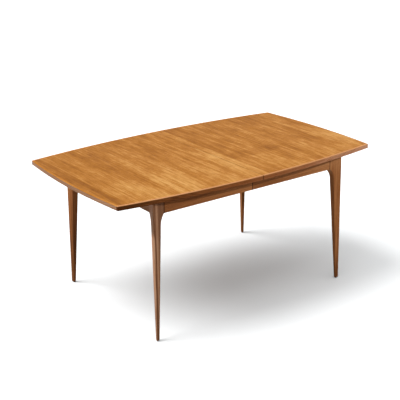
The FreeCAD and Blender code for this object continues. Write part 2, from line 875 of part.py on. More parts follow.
# Locks: a lever with a curved slot swings round a stud on the other half
lock_face = underside - S.lock_plate_thickness
lever_top = lock_face - S.lever_play
lever_bottom = lever_top - S.lever_thickness
keeper_x = S.lock_reach - S.lock_pivot_set
lever_sweep = S.lock_reach + S.lever_jaw_width / 2
lock_place = S.slide_spacing / 2 - rail_back - S.lock_clearance - lever_sweep


def sector(radius, span, turn):
    """Part of a disc of the lever's thickness that starts at an angle."""
    solid = doc.addObject("Part::Cylinder", "sector")
    bind(solid, Radius=radius, Height=S.lever_thickness, Angle=span)
    return place(solid, ZERO, ZERO, lever_bottom, Rotation(UP, turn.value))


def arm(length, width, angle):
    """Flat bar from the pivot outwards."""
    solid = doc.addObject("Part::Box", "arm")
    bind(solid, Length=length, Width=width, Height=S.lever_thickness)
    turn = math.radians(angle.value)
    x = width / 2 * math.sin(turn)
    y = -width / 2 * math.cos(turn)
    return place(solid, x, y, lever_bottom, Rotation(UP, angle.value))


def plate_round(radius, x, y):
    return cylinder(radius, S.lever_thickness, x, y, lever_bottom)


def polar(distance, angle):
    turn = math.radians(angle.value)
    return distance * math.cos(turn), distance * math.sin(turn)


def lever():
    """Lock lever about its pivot, in the locked place, with the keeper's stud on +X."""
    half_jaw = S.lever_jaw_width / 2
    slot = S.keeper_stud_radius + S.lever_slot_play
    lead = S.jaw_lead_angle
    jaw_inner = S.lock_reach - half_jaw
    jaw = cut(sector(lever_sweep, S.jaw_span_angle, -lead), plate_round(jaw_inner, ZERO, ZERO))
    handle_end = plate_round(S.lever_handle_width / 2, *polar(S.lever_handle_length, S.handle_angle))
    plate = fuse(
        plate_round(S.lever_hub_radius, ZERO, ZERO),
        arm(S.lock_reach, S.lever_arm_width, S.arm_angle),
        arm(S.lever_handle_length, S.lever_handle_width, S.handle_angle),
        handle_end,
        jaw,
    )
    slot_span = lead * 2 + S.slot_end_angle
    channel = cut(
        sector(S.lock_reach + slot, slot_span, -(lead * 2)),
        plate_round(S.lock_reach - slot, ZERO, ZERO),
    )
    slot_end = plate_round(slot, *polar(S.lock_reach, S.slot_end_angle))
    pivot_hole = plate_round(S.pivot_radius + S.pivot_running_fit, ZERO, ZERO)
    return cut(plate, fuse(channel, slot_end), pivot_hole)


def locks():
    """Two locks; gives the screw holes for each half's panel."""
    master = lever()
    plates, pivots, plate_screws, keepers, keeper_screws = [], [], [], [], []
    holes = {"left": [], "right": []}
    turn = Rotation(UP, S.lever_open_angle.value)
    for where, sign in PLACES.items():
        line = sign * lock_place
        pivot_x = -S.lock_pivot_set
        node(f"{where}_lock_lever", copy_at(master, pivot_x, line, turn))

        half_plate = S.lock_plate_length / 2
        half_width = S.lock_plate_width / 2
        ys = (line - half_width, line + half_width)
        zs = (lock_face, underside)
        plate_cuts = []
        for end in SIDES.values():
            screw, hole = flush_screw(pivot_x + end * S.lock_screw_spacing / 2, line, lock_face)
            plate_screws.append(screw)
            plate_cuts.append(hole)
        holes["left"].extend(plate_cuts)
        plates.append(cut(box((pivot_x - half_plate, pivot_x + half_plate), ys, zs), *plate_cuts))
        shank = S.lever_thickness + S.lever_play * 2
        head = lock_face - shank - S.pivot_head_height
        pivots.append(fuse(
            cylinder(S.pivot_radius, shank, pivot_x, line, lock_face - shank),
            cylinder(S.pivot_head_radius, S.pivot_head_height, pivot_x, line, head),
        ))

        keeper_cuts = []
        for end in PLACES.values():
            spot = line + end * S.keeper_screw_spacing / 2
            screw, hole = flush_screw(keeper_x + S.keeper_screw_offset, spot, lock_face)
            keeper_screws.append(screw)
            keeper_cuts.append(hole)
        holes["right"].extend(keeper_cuts)
        keeper_start = keeper_x - S.pivot_head_radius
        plate = cut(box((keeper_start, keeper_start + S.keeper_length), ys, zs), *keeper_cuts)
        stud_length = shank + S.lock_plate_thickness / 2
        stud = cylinder(S.keeper_stud_radius, stud_length, keeper_x, line, lock_face - shank)
        keepers.append(fuse(plate, stud))
    node("lock_plates", group(*plates))
    node("lock_pivots", group(*pivots))
    node("lock_plate_screws", group(*plate_screws))
    node("lock_keepers", group(*keepers))
    node("keeper_screws", group(*keeper_screws))
    return holes


# The two halves
lock_holes = locks()
for half in SIDES:
    cleat_holes = cleats(half)
    rails, rail_holes = outer_rails(half)
    rack_holes = racks(half)
    for where, rail in rails.items():
        node(f"{where}_{half}_rail", cut(rail, *rack_holes[where]))
    leaf_holes = [dowel_hole(half, leaf_dowel, y, dowel_level) for y in dowel_lines]
    apron_holes = {
        where: dowel_hole(half, apron_dowel, sign * apron_dowel_line, apron_dowel_level)
        for where, sign in PLACES.items()
    }
    top_half(half, cleat_holes + rail_holes + lock_holes[half] + leaf_holes)
    aprons(half, apron_holes)
    for where, leg in zip(PLACES, corner_copies(half, "leg")):
        node(f"{half}_{where}_leg", leg)
    node(f"{half}_foot_glides", group(*corner_copies(half, "glide")))
    node(f"{half}_corner_blocks", group(*corner_copies(half, "block")))
    node(f"{half}_leg_bolts", group(*corner_copies(half, "bolt")))
    node(f"{half}_leg_nuts", group(*corner_copies(half, "nut")))

# What joins the halves
middle_rails()
studs()
for where in PLACES:
    pinion(where)
seam_dowels()

doc.recompute()
for thing in doc.Objects:
    if "Invalid" in thing.State or "Error" in thing.State:
        raise RuntimeError(f"{thing.Label} failed: {thing.State}")
for label, solid in nodes.items():
    if solid.Shape.isNull() or not solid.Shape.isValid():
        raise RuntimeError(f"{label} has no valid shape")

os.makedirs("parts", exist_ok=True)
for label, solid in nodes.items():
    solid.Shape.exportStep(f"parts/{label}.step")
print(len(nodes), "pieces written")
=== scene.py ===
# %% [markdown]
# # An extending dining table, finished and photographed
# The packed model is the table as it comes off the bench: every board, rail, gear and screw at its place
# and size, in plain colours. This lesson sets up the camera and the studio of the photograph, gives each
# piece the finish of the real one and changes the plain screws for slotted ones. Pieces from the bench
# are never moved or reshaped: they only receive a finish.

# %% Load the bench model
import json
import math

import bmesh
import bpy
import numpy as np
from mathutils import Euler, Matrix, Vector


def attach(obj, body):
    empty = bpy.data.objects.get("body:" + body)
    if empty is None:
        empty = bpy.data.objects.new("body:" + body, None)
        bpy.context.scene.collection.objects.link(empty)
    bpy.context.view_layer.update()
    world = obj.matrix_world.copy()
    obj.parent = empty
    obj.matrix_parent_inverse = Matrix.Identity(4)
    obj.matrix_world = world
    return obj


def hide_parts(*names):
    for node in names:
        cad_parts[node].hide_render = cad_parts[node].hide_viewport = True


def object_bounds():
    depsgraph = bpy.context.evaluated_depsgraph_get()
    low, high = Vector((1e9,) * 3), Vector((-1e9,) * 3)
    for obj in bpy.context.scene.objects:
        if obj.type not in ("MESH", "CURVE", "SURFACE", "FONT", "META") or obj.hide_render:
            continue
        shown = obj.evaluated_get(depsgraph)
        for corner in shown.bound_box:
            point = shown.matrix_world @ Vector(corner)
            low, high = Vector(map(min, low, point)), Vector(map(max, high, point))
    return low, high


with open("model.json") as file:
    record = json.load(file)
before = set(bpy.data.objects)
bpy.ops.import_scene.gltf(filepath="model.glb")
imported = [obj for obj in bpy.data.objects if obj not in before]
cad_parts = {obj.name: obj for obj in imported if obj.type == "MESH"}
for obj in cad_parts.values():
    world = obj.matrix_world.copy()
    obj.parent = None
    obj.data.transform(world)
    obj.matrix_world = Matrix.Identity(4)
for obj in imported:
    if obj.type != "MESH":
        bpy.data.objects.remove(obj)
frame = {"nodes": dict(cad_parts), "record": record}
nodes = frame["nodes"]
CAD_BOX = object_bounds()
LOW, HIGH = CAD_BOX
print(len(nodes), "pieces,", [round(side, 3) for side in HIGH - LOW], "metres over all")

# %% [markdown]
# ## The camera
# The photograph looks down on the near left corner through a long lens, so the table shows little
# perspective. A camera can be aimed by eye, but then edges drift by several pixels. Fitting the four
# corners, the legs and the seam gave the angles, the distance and the focal length instead; the lens
# axis doesn't quite meet the middle of the picture, which is a small lens shift.

# %% Camera
PHOTO_SIDE = 400
FOCAL_PIXELS = 907.2
AXIS_PIXEL = (213.9, 211.3)
SENSOR_WIDTH = 36.0
AZIMUTH, ELEVATION, ROLL = (math.radians(angle) for angle in (-36.80, 20.99, -0.24))
CAMERA_DISTANCE = 4.902
CAMERA_TARGET = Vector((0.0468, -0.0186, 0.4))

lens = bpy.data.cameras.new("camera")
lens.sensor_width = SENSOR_WIDTH
lens.lens = SENSOR_WIDTH * FOCAL_PIXELS / PHOTO_SIDE
lens.shift_x = (PHOTO_SIDE / 2 - AXIS_PIXEL[0]) / PHOTO_SIDE
lens.shift_y = (AXIS_PIXEL[1] - PHOTO_SIDE / 2) / PHOTO_SIDE
turn = Euler((math.pi / 2 - ELEVATION, 0, AZIMUTH)).to_matrix() @ Matrix.Rotation(ROLL, 3, "Z")
camera = bpy.data.objects.new("camera", lens)
camera.matrix_world = turn.to_4x4()
camera.location = CAMERA_TARGET + turn.col[2] * CAMERA_DISTANCE
bpy.context.scene.collection.objects.link(camera)
bpy.context.scene.camera = camera
bpy.context.scene.view_settings.view_transform = "Standard"
print("lens", round(lens.lens, 1), "mm from", [round(place, 2) for place in camera.location])

# %% [markdown]
# ## Shader maths as Python
# A wood finish is mostly arithmetic on coordinates: distances from the heart of the tree, streaks, rings.
# Wiring each sum by hand hides the idea, so this class wraps one output of a node and lets Python's own
# operators add the Math nodes. Any other node comes from `node`, which takes its settings first.


# %% A wire between shader nodes
def set_stops(ramp, stops):
    """Give a colour ramp its stops, as (place, colour) pairs."""
    while len(ramp.elements) < len(stops):
        ramp.elements.new(1.0)
    for element, (place, colour) in zip(ramp.elements, stops):
        element.position = place
        element.color = colour


class Wire:
    """One output of a shader node; operators on it add Math nodes to the same tree."""

    def __init__(self, tree, socket=None):
        self.tree = tree
        self.socket = socket

    def node(self, kind, settings=None, sockets=None, output=0):
        """Add a node: its settings first, then a value or wire for each named or numbered socket."""
        made = self.tree.nodes.new(kind)
        for name, value in (settings or {}).items():
            if name == "stops":
                set_stops(made.color_ramp, value)
            else:
                setattr(made, name, value)
        for name, value in (sockets or {}).items():
            if isinstance(value, Wire):
                self.tree.links.new(value.socket, made.inputs[name])
            else:
                made.inputs[name].default_value = value
        return Wire(self.tree, made.outputs[output] if made.outputs else None)

    def output(self, name):
        """Another output of the same node."""
        return Wire(self.tree, self.socket.node.outputs[name])

    def maths(self, operation, *values):
        """A Math node on some values."""
        return self.node("ShaderNodeMath", {"operation": operation}, dict(enumerate(values)))

    def __add__(self, other):
        return self.maths("ADD", self, other)

    def __radd__(self, other):
        return self.maths("ADD", other, self)

    def __sub__(self, other):
        return self.maths("SUBTRACT", self, other)

    def __rsub__(self, other):
        return self.maths("SUBTRACT", other, self)

    def __mul__(self, other):
        return self.maths("MULTIPLY", self, other)

    def __rmul__(self, other):
        return self.maths("MULTIPLY", other, self)

    def __truediv__(self, other):
        return self.maths("DIVIDE", self, other)

    def __pow__(self, other):
        return self.maths("POWER", self, other)

    def __abs__(self):
        return self.maths("ABSOLUTE", self)

    def smooth(self, low, high):
        """0 below low, 1 above high and a smooth step between them."""
        sockets = {"Value": self, "From Min": low, "From Max": high}
        return self.node("ShaderNodeMapRange", {"interpolation_type": "SMOOTHSTEP"}, sockets)

    def ramp(self, stops):
        """The colour that a ramp with these stops has at this value."""
        return self.node("ShaderNodeValToRGB", {"stops": stops}, {"Fac": self})

    def mix(self, low, high):
        """The colour low where this value is 0 and high where it is 1."""
        return self.node("ShaderNodeMix", {"data_type": "RGBA"}, {0: self, 6: low, 7: high}, 2)

    def blend(self, low, high):
        """The shader low where this value is 0 and high where it is 1."""
        return self.node("ShaderNodeMixShader", None, {0: self, 1: low, 2: high})


print("a wire knows", [name for name in vars(Wire) if not name.startswith("__")])


# %% Colours and finishes
def tinted(red, green, blue):
    """A linear colour with full alpha."""
    return red, green, blue, 1.0


def grey(level):
    """A colour of three equal parts."""
    return tinted(level, level, level)


def new_finish(name):
    """An empty material and a wire to start its tree from."""
    finish = bpy.data.materials.new(name)
    finish.use_nodes = True
    finish.node_tree.nodes.clear()
    return finish, Wire(finish.node_tree)


def close_finish(start, shader):
    """Join the last shader to the material's output."""
    start.node("ShaderNodeOutputMaterial", None, {"Surface": shader})


def bumped(start, strength, depth, height):
    """Surface directions that follow a height pattern of a depth in metres."""
    sockets = {"Strength": strength, "Distance": depth, "Height": height}
    return start.node("ShaderNodeBump", None, sockets)


print("finishes start empty and end at one shader")

# %% [markdown]
# ## Studio floor
# The photograph has a plain white ground with a soft grey shadow. A sheet of paper would do in a studio:
# here it is one large disc. What the camera and reflections see is a pale diffuse sheet, which takes
# the shadow; the light that it throws back onto the table comes from a greyer sheet, so that the bright
# paper doesn't light the table from below. Seen from below it is clear.

# %% Floor
FLOOR_RADIUS = 40.0
FLOOR_SIDES = 96
FLOOR_SEEN = tinted(0.783, 0.80, 0.809)
FLOOR_BOUNCE = grey(0.22)


def disc_mesh(name, radius, sides):
    """A flat disc at height zero: points at equal angles on a circle, joined into one face."""
    angles = np.linspace(0, 2 * np.pi, sides, endpoint=False)
    points = np.stack([radius * np.cos(angles), radius * np.sin(angles), np.zeros(sides)], axis=1)
    mesh = bpy.data.meshes.new(name)
    mesh.from_pydata(points.tolist(), [], [list(range(sides))])
    return mesh


def looked_at(start):
    """1 for rays from the camera, from a reflection or through glass, and 0 for light that is spread."""
    rays = start.node("ShaderNodeLightPath", None, None, "Is Camera Ray")
    total = rays + rays.output("Is Glossy Ray") + rays.output("Is Transmission Ray")
    return total.maths("MINIMUM", total, 1.0)


def floor_paper():
    """Paper that looks bright from above, throws back little light and is clear from below."""
    finish, start = new_finish("floor_paper")
    bright = start.node("ShaderNodeBsdfDiffuse", None, {"Color": FLOOR_SEEN})
    dull = start.node("ShaderNodeBsdfDiffuse", None, {"Color": FLOOR_BOUNCE})
    clear = start.node("ShaderNodeBsdfTransparent")
    behind = start.node("ShaderNodeNewGeometry", None, None, "Backfacing")
    close_finish(start, behind.blend(looked_at(start).blend(dull, bright), clear))
    return finish


floor = bpy.data.objects.new("floor", disc_mesh("floor", FLOOR_RADIUS, FLOOR_SIDES))
floor.data.materials.append(floor_paper())
bpy.context.scene.collection.objects.link(floor)
print("floor", 2 * FLOOR_RADIUS, "metres across")

# %% [markdown]
# ## Studio light
# The photograph shows a soft light overhead, a harder one low behind the left end, which reaches the
# outer faces of the left legs below the top's shadow, a weak fill from the left and a frontal light that
# throws the overhang's shadow on the apron. One big lamp could light everything, but then the floor's
# shadow would change with the table's shading. So each lamp lights only one group of pieces, and the
# floor has two broad lights, which leave only a soft shadow on it.

# %% What each lamp may light
table_only = bpy.data.collections.new("table_only")
edges_only = bpy.data.collections.new("edges_only")
floor_only = bpy.data.collections.new("floor_only")
floor_only.objects.link(floor)
for name, piece in nodes.items():
    table_only.objects.link(piece)
    if not name.endswith("_top_panel"):
        edges_only.objects.link(piece)

# %% Lamps
# Each lamp's name, the direction it shines from, its strength, its width in degrees and what it lights
LAMPS = (
    ("overhead", Vector((-0.39, 0.18, 1.0)), 0.85, 45, table_only),
    ("key", Vector((-0.62, 0.58, 0.5)), 3.1, 4, table_only),
    ("fill", Vector((-1.0, -0.35, 0.35)), 0.4, 60, table_only),
    ("front", Vector((0.1, -1.0, 0.66)), 1.4, 4, edges_only),
    ("paper_light", Vector((-0.61, 0.365, 1.0)), 3.2, 38, floor_only),
    ("paper_light", Vector((-0.14, -0.36, 1.0)), 2.1, 94, floor_only),
)


def lamp(name, source, strength, degrees, lit):
    """A distant lamp that shines from a direction on one collection."""
    light = bpy.data.lights.new(name, "SUN")
    light.energy = strength
    light.angle = math.radians(degrees)
    holder = bpy.data.objects.new(name, light)
    holder.rotation_euler = (-source).to_track_quat("-Z", "Y").to_euler()
    holder.location = source
    bpy.context.scene.collection.objects.link(holder)
    holder.light_linking.receiver_collection = lit


for settings in LAMPS:
    lamp(*settings)

# %% [markdown]
# ## Studio walls
# Round the table the studio is white, but white walls would also fill every shadow with light. So what
# the camera and reflections see is a white wall, while the light comes from a dim dome that is brighter
# overhead.

# %% Walls
DOME_LOW, DOME_HIGH = grey(0.22), grey(0.5)
WALL_WHITE = grey(1.0)


def dome(world):
    """White where it is looked at; its light rises from low to high by a smooth step of the height."""
    world.use_nodes = True
    world.node_tree.nodes.clear()
    start = Wire(world.node_tree)
    direction = start.node("ShaderNodeTexCoord", None, None, "Generated")
    height = direction.node("ShaderNodeSeparateXYZ", None, {0: direction}, 2)
    colour = height.smooth(0.0, 1.0).mix(DOME_LOW, DOME_HIGH)
    dim = start.node("ShaderNodeBackground", None, {"Color": colour, "Strength": 1.0})
    wall = start.node("ShaderNodeBackground", None, {"Color": WALL_WHITE, "Strength": 1.0})
    start.node("ShaderNodeOutputWorld", None, {"Surface": looked_at(start).blend(dim, wall)})


bpy.context.scene.world = bpy.data.worlds.new("dome")
dome(bpy.context.scene.world)
print("dome light from", DOME_LOW[0], "to", DOME_HIGH[0])

# %% [markdown]
# ## Grain
# A picture of timber could be wrapped round each board, but it would break at the corners. Here the
# figure is a function of the coordinates along and across the board, so it runs through the wood as the
# real one does. Streaks are noise drawn out along the grain. Growth rings are the distance from the
# tree's heart line, wavered by slow noise and cut into equal steps, so a board shows long lines on its
# faces and arcs on its ends. Pores are short dark dashes that lie a little lower than the surface.

# %% Grain patterns
AXES = "xyz"
# The mean of the noise, and the middle of each ramp of tones
MIDDLE = 0.5
STREAK_ROUGHNESS = 0.55
WANDER_RATES = (6.0, 1.2)
LATE_WOOD = (0.35, 1.0)
PORE_RATES = (1500.0, 55.0)
PORE_PEAKS = (0.62, 0.74)


def placed(start):
    """Coordinates on the piece, in metres."""
    return start.node("ShaderNodeTexCoord", None, None, "Object")


def coordinate(place, axis):
    """One coordinate of the place."""
    return place.node("ShaderNodeSeparateXYZ", None, {0: place}, AXES.index(axis))


def streaks(place, along, across, lengthwise, detail=3.0):
    """Noise drawn out along the grain; the two rates are changes per metre across and along it. Its mean
    is the middle value."""
    rates = [across] * 3
    rates[AXES.index(along)] = lengthwise
    drawn = place.node("ShaderNodeVectorMath", {"operation": "MULTIPLY"}, {0: place, 1: rates})
    sockets = {"Vector": drawn, "Scale": 1.0, "Detail": detail, "Roughness": STREAK_ROUGHNESS}
    return place.node("ShaderNodeTexNoise", None, sockets)


def rings(place, along, heart, spacing, wander):
    """Late wood: distance from the heart line plus slow noise, divided by the spacing; its fraction
    rises smoothly to a dark line and then drops."""
    across = [coordinate(place, axis) for axis in AXES if axis != along]
    one, two = (part - middle for part, middle in zip(across, heart))
    slow = streaks(place, along, *WANDER_RATES, detail=1.5)
    step = ((one * one + two * two) ** 0.5 + (slow - MIDDLE) * wander) / spacing
    return step.maths("FRACT", step).smooth(*LATE_WOOD)


def pores(place, along):
    """Short dashes: the peaks of fine noise drawn out along the grain."""
    return streaks(place, along, *PORE_RATES, detail=0.0).smooth(*PORE_PEAKS)


print("three grain patterns: streaks, rings and pores")

# %% [markdown]
# ## Lacquered wood
# One recipe serves every visible board. Tone runs from dark to pale through the streaks and rings, a ramp
# turns it into colour, the pores darken it and press into the surface, and the lacquer's sheen changes
# a little with the streaks. The numbers that differ from wood to wood are the arguments.

# %% Wood recipe
FIBRE_RATES = (420.0, 9.0)
FIBRE_HEIGHT = 0.5
EARLY_MIDDLE = 0.6
PORE_DEPTH = 0.00012
PORE_TINT_SHARE = 0.3
PORE_DULLING = 0.1
BUMP_STRENGTH = 0.35
LACQUER_LEVEL = 0.03
# Depths below the top over which a painted highlight runs along the upper edge
HIGHLIGHT_DROPS = (0.0036, 0.0018)


def wood(name, along, stops, heart, spacing=0.004, wander=0.012, broad_rates=(30.0, 1.2),
         close_rates=(130.0, 4.0), shares=(0.7, 0.45, 0.3, 0.3), pore_share=0.35, sheen=(0.42, 0.16),
         tone=None, lively=None, dark=None, edge_highlight=None):
    """A lacquered wood whose grain runs along one axis. Stops are its tones, dark to pale; shares are
    how much the broad streaks, the close streaks, the fibres and the rings change the tone. Lively
    strengthens all four from place to place, dark gives joint lines of painted shade, and rim the stops
    and the tone of a painted highlight along the table's upper edge."""
    finish, start = new_finish(name)
    place = placed(start)
    broad = streaks(place, along, *broad_rates)
    close = streaks(place, along, *close_rates)
    fibres = streaks(place, along, *FIBRE_RATES, detail=2.0)
    early = 1 - rings(place, along, heart, spacing, wander)
    holes = pores(place, along)
    swings = (broad - MIDDLE, close - MIDDLE, fibres - MIDDLE, early - EARLY_MIDDLE)
    figure = 0.0
    for swing, share in zip(swings, shares):
        figure = swing * share + figure
    if lively:
        figure = figure * lively(place)
    level = figure + (tone(place) if tone else MIDDLE)
    darkest = stops[0][1][:3]
    pore_colour = tinted(*(part * PORE_TINT_SHARE for part in darkest))
    colour = (holes * pore_share).mix(level.ramp(stops), pore_colour)
    # A painted highlight along the table's upper edge, in tones of its own
    if edge_highlight:
        highlight_stops, highlight_tone = edge_highlight
        highlight_level = swings[0] * shares[0] + swings[2] * shares[2] + highlight_tone
        upper = coordinate(place, "z").smooth(*(HIGH.z - drop for drop in HIGHLIGHT_DROPS))
        colour = upper.mix(colour, highlight_level.ramp(highlight_stops))
    if dark:
        colour = dark(place).mix(colour, pore_colour)
    smoothest, spread = sheen
    close_finish(start, start.node("ShaderNodeBsdfPrincipled", None, {
        "Base Color": colour,
        "Roughness": (1 - broad) * spread + holes * PORE_DULLING + smoothest,
        "Specular IOR Level": LACQUER_LEVEL,
        "Normal": bumped(start, BUMP_STRENGTH, PORE_DEPTH, fibres * FIBRE_HEIGHT - holes),
    }))
    return finish


print("wood recipe ready")

# %% Joint lines of painted shade, slopes and dressing
HALVES = ("left", "right")
PLACES = ("front", "back")
SEAM = 0.0
# Half widths over which the painted shade of a joint line fades out
LINE_EDGES = (0.0016, 0.0034)


def joint_shade_lines(share, *spots):
    """Thin dark lines at distances from the table's middle, where boards meet: painted shade in cracks."""
    def dark(place):
        away = abs(coordinate(place, "x"))
        total = 0.0
        for spot in spots:
            total = (1 - abs(away - spot).smooth(*LINE_EDGES)) * share + total
        return total
    return dark


def slope(axis, middle, rate):
    """A tone that is even at a place along an axis and changes at a rate per metre."""
    def tone(place):
        return (coordinate(place, axis) - middle) * rate + MIDDLE
    return tone


def dress(finish, *names):
    """Give pieces their finish."""
    for name in names:
        piece = nodes[name]
        piece.data.materials.clear()
        piece.data.materials.append(finish)


print("joint lines", 2 * LINE_EDGES[0], "metres wide")

# %% [markdown]
# ## Veneered top
# The top is veneered with honey-coloured leaves whose grain runs across the table, so their joints are
# lines from front to back. The leaves could be sheets of their own, but they are flush with one another
# and show only as bands. Their uneven widths and tones are therefore a ramp along the table, which
# follows the bands of the photograph, and the streaks do the rest.

# %% Veneer leaves
LEAF_JOINTS = (-0.742, -0.582, -0.470, -0.372, -0.240, -0.065, 0.045, 0.145, 0.310, 0.425, 0.655)
LEAF_TONES = (0.20, 0.44, 0.33, 0.43, 0.40, 0.41, 0.51, 0.31, 0.41, 0.35, 0.33, 0.41)
JOINT_BLUR = 0.006


def leaf_tone(place):
    """Each leaf's tone as a ramp along the table with a short slope at each joint."""
    length = HIGH.x - LOW.x
    ends = (LOW.x - JOINT_BLUR, *LEAF_JOINTS, HIGH.x + JOINT_BLUR)
    stops = []
    for start, end, tone in zip(ends, ends[1:], LEAF_TONES):
        for spot in (start + JOINT_BLUR, end - JOINT_BLUR):
            stops.append(((spot - LOW.x) / length, grey(tone)))
    return ((coordinate(place, "x") - LOW.x) / length).ramp(stops)


print(len(LEAF_TONES), "veneer leaves")

# %% Figure of the veneer
CLOUD_RATES = (7.0, 4.9)
CLOUD_SHARE = 0.45
FLECK_RATES = (60.0, 30.0)
FLECK_SHARE = 0.3
LINE_RATES = (48.0, 0.7)
LINE_PEAKS = (0.60, 0.72)
LINE_SHARE = 0.12
FADE_TO_FRONT = 0.13
LIVELY_RATE = 0.3
# Each pool's middle, its reach along and across the table, and its share of the tone
PALE_POOL = ((-0.45, -0.28), (0.32, 0.26), 0.15)
DARK_POOL = ((0.20, -0.15), (0.30, 0.07), -0.14)


def pool(place, middle, reach, share):
    """An oval patch: its share in the middle, falling smoothly to nothing at its reach."""
    along = (coordinate(place, "x") - middle[0]) / reach[0]
    across = (coordinate(place, "y") - middle[1]) / reach[1]
    return (1 - (along * along + across * across).smooth(0.0, 1.0)) * share


def livelier_right(place):
    """The grain is stronger towards the right end."""
    return coordinate(place, "x") * LIVELY_RATE + 1


def veneer_tone(place):
    """The leaves, a cloudy figure, short flecks, a few long dark lines, a fade towards the front, and a
    pale patch and a dark cross figure where the photograph shows them."""
    cloud = streaks(place, "y", *CLOUD_RATES, detail=2.0)
    flecks = streaks(place, "y", *FLECK_RATES, detail=1.0)
    lines = streaks(place, "y", *LINE_RATES, detail=1.0).smooth(*LINE_PEAKS)
    figure = (cloud - MIDDLE) * CLOUD_SHARE + (flecks - MIDDLE) * FLECK_SHARE
    figure = figure - lines * LINE_SHARE - coordinate(place, "y") * FADE_TO_FRONT
    return leaf_tone(place) + figure + pool(place, *PALE_POOL) + pool(place, *DARK_POOL)


print("flecks change", FLECK_RATES[0], "times a metre across the grain")

# %% Top
HONEY = (
    (0.0, tinted(0.25, 0.081, 0.006)),
    (0.28, tinted(0.372, 0.135, 0.0145)),
    (0.47, tinted(0.462, 0.185, 0.031)),
    (0.65, tinted(0.578, 0.275, 0.066)),
    (1.0, tinted(0.76, 0.44, 0.155)),
)
VENEER_GRAIN = {
    "heart": (0.0, 0.1),
    "spacing": 0.011,
    "wander": 0.05,
    "broad_rates": (24.0, 2.0),
    "close_rates": (105.0, 11.0),
    "shares": (0.75, 0.65, 0.5, 0.1),
    "pore_share": 0.3,
    "sheen": (0.40, 0.12),
}
TOP_SEAM_SHARE = 0.35
veneer = wood("top_veneer", "y", HONEY, **VENEER_GRAIN, tone=veneer_tone, lively=livelier_right,
              dark=joint_shade_lines(TOP_SEAM_SHARE, SEAM))
dress(veneer, *(f"{half}_top_panel" for half in HALVES))
print("top finished in", veneer.name)

# %% [markdown]
# ## Lippings
# Solid edges hide the veneer's core. They could share the frame's walnut, but the end lippings are paler
# and pinker than the long ones, partly their wood and partly a painted sheen. The long ones darken
# towards the left in painted shade, away from a light on the right, with a painted sheen at their pale
# right end, and a painted highlight runs along the upper edge. So each kind has its own tones and its own
# rim.

# %% Lippings
# End lipping tones: the wood, partly with a painted sheen in it
ROSE = (
    (0.0, tinted(0.15, 0.068, 0.032)),
    (0.5, tinted(0.29, 0.148, 0.077)),
    (1.0, tinted(0.43, 0.25, 0.15)),
)
# Long lipping tones; the pale pinkish top of this ramp is a painted sheen
UMBER = (
    (0.0, tinted(0.072, 0.021, 0.004)),
    (0.4, tinted(0.26, 0.085, 0.024)),
    (0.7, tinted(0.34, 0.125, 0.047)),
    (0.83, tinted(0.43, 0.185, 0.085)),
    (1.0, tinted(0.60, 0.30, 0.17)),
)
# Tones of the painted highlight along the long lippings' upper edge
EDGE = (
    (0.0, tinted(0.40, 0.165, 0.055)),
    (0.5, tinted(0.53, 0.245, 0.10)),
    (1.0, tinted(0.64, 0.33, 0.15)),
)
LIPPING_HEART = (0.0, 0.4)
# Painted light and shade: the long lippings darken from right to left, away from a light on the right
LONG_LIGHT_SLOPE = (0.12, 0.8)
# Tones of the painted highlight along the upper edge of the end and the long lippings
END_HIGHLIGHT_TONE, LONG_HIGHLIGHT_TONE = 0.34, 0.5
LIPPING_SEAM_SHARE = 0.6

end_lip = wood("end_lipping", "y", ROSE, LIPPING_HEART, edge_highlight=(HONEY, END_HIGHLIGHT_TONE))
long_lip = wood("long_lipping", "x", UMBER, LIPPING_HEART, tone=slope("x", *LONG_LIGHT_SLOPE),
                dark=joint_shade_lines(LIPPING_SEAM_SHARE, SEAM), edge_highlight=(EDGE, LONG_HIGHLIGHT_TONE))
for half in HALVES:
    dress(end_lip, f"{half}_end_lipping")
    dress(long_lip, *(f"{half}_{where}_lipping" for where in PLACES))
print("lippings finished in", end_lip.name, "and", long_lip.name)

# %% [markdown]
# ## Aprons
# The aprons are walnut boards whose grain runs along them. The top's shadow lies on them as a dark strip.
# The lamps alone leave that strip too pale, and a dimmer dome would darken every other shadow with it,
# so the tone of the wood drops there as a painted shadow. Dark lines of painted shade mark the seam and
# the joints with the legs.

# %% Aprons
WALNUT = (
    (0.0, tinted(0.14, 0.049, 0.016)),
    (0.5, tinted(0.34, 0.125, 0.040)),
    (1.0, tinted(0.52, 0.232, 0.090)),
)
DUSKY = (
    (0.0, tinted(0.14, 0.055, 0.024)),
    (0.5, tinted(0.35, 0.170, 0.088)),
    (1.0, tinted(0.54, 0.31, 0.19)),
)
FIGURED_SHARES = (0.7, 0.85, 0.5, 0.3)
APRON_HEART = (0.0, 0.2)
APRON_MIDDLES = {"left": -0.17, "right": 0.145}
APRON_RATE = 0.8
# Heights and depth of the top's painted shadow on the aprons
SHADOW_STRIP_HEIGHTS = (0.698, 0.709)
SHADOW_STRIP_SHARE = 0.22
LEG_JOINT = 0.5265
APRON_LINE_SHARE = 0.8


def shaded_slope(middle, rate):
    """An apron's tone: a slope along the table, and the top's painted shadow in the strip under it."""
    def tone(place):
        strip = coordinate(place, "z").smooth(*SHADOW_STRIP_HEIGHTS)
        return slope("x", middle, rate)(place) - strip * SHADOW_STRIP_SHARE
    return tone


end_apron = wood("end_apron", "y", DUSKY, APRON_HEART)
for half in HALVES:
    long_apron = wood(f"{half}_long_apron", "x", WALNUT, APRON_HEART, shares=FIGURED_SHARES,
                      tone=shaded_slope(APRON_MIDDLES[half], APRON_RATE),
                      dark=joint_shade_lines(APRON_LINE_SHARE, SEAM, LEG_JOINT))
    dress(end_apron, f"{half}_end_apron")
    dress(long_apron, *(f"{half}_{where}_apron" for where in PLACES))
print("aprons shaded above", SHADOW_STRIP_HEIGHTS[0], "metres")

